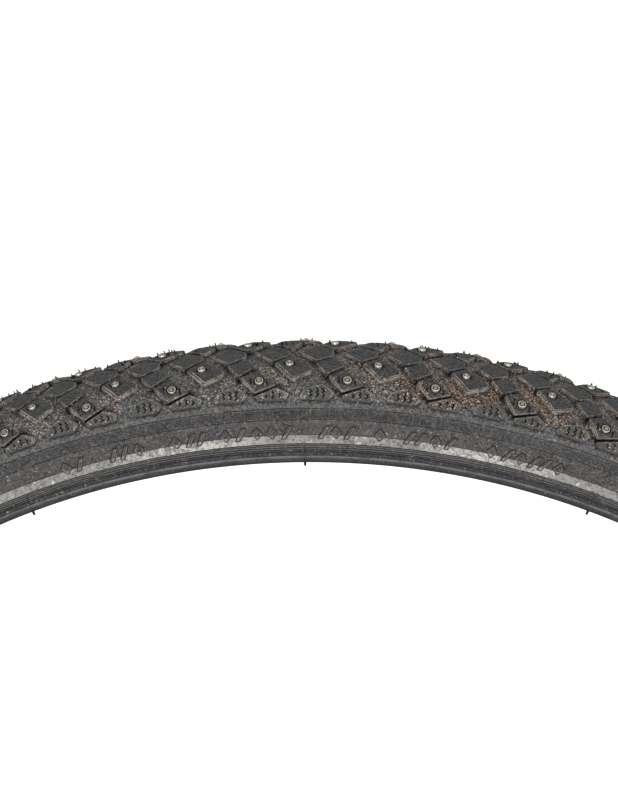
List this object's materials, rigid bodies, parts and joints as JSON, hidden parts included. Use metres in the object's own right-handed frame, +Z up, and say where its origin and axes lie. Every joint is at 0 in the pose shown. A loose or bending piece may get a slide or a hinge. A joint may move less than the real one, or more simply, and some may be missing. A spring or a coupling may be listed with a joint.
{
  "type": "bicycle tire",
  "caption": "Studded winter bicycle tyre off its rim: blocked tread with metal studs on an open U-shaped cord casing, with wire beads and reflective sidewall strips.",
  "frame": {"origin": "wheel centre, in the middle plane of the tyre", "axes": "+Y along the spin axis to the right side of the tyre, +Z up, +X towards the side that faces right when the left sidewall is looked at"},
  "size_m": [0.703, 0.0522, 0.703],
  "materials": {
    "tread_rubber": "matte",
    "sidewall_rubber": "matte",
    "chafer_rubber": "satin",
    "filler_rubber": "matte",
    "casing_fabric": "matte",
    "belt_fabric": "matte",
    "reflective_tape": "satin",
    "bead_wire": "satin",
    "stud_steel": "satin",
    "stud_carbide": "satin"
  },
  "bodies": {
    "root": {"tread": "tread_rubber", "puncture_belt": "belt_fabric", "casing_ply_inner": "casing_fabric", "casing_ply_outer": "casing_fabric", "bead_core_left": "bead_wire", "bead_core_right": "bead_wire", "bead_filler_left": "filler_rubber", "bead_filler_right": "filler_rubber", "chafer_left": "chafer_rubber", "chafer_right": "chafer_rubber", "sidewall_left": "sidewall_rubber", "sidewall_right": "sidewall_rubber", "reflective_strip_left": "reflective_tape", "reflective_strip_right": "reflective_tape", "stud_bodies_outer_left": "stud_steel", "stud_pins_outer_left": "stud_carbide", "stud_bodies_inner_left": "stud_steel", "stud_pins_inner_left": "stud_carbide", "stud_bodies_inner_right": "stud_steel", "stud_pins_inner_right": "stud_carbide", "stud_bodies_outer_right": "stud_steel", "stud_pins_outer_right": "stud_carbide"}
  },
  "joints": []
}
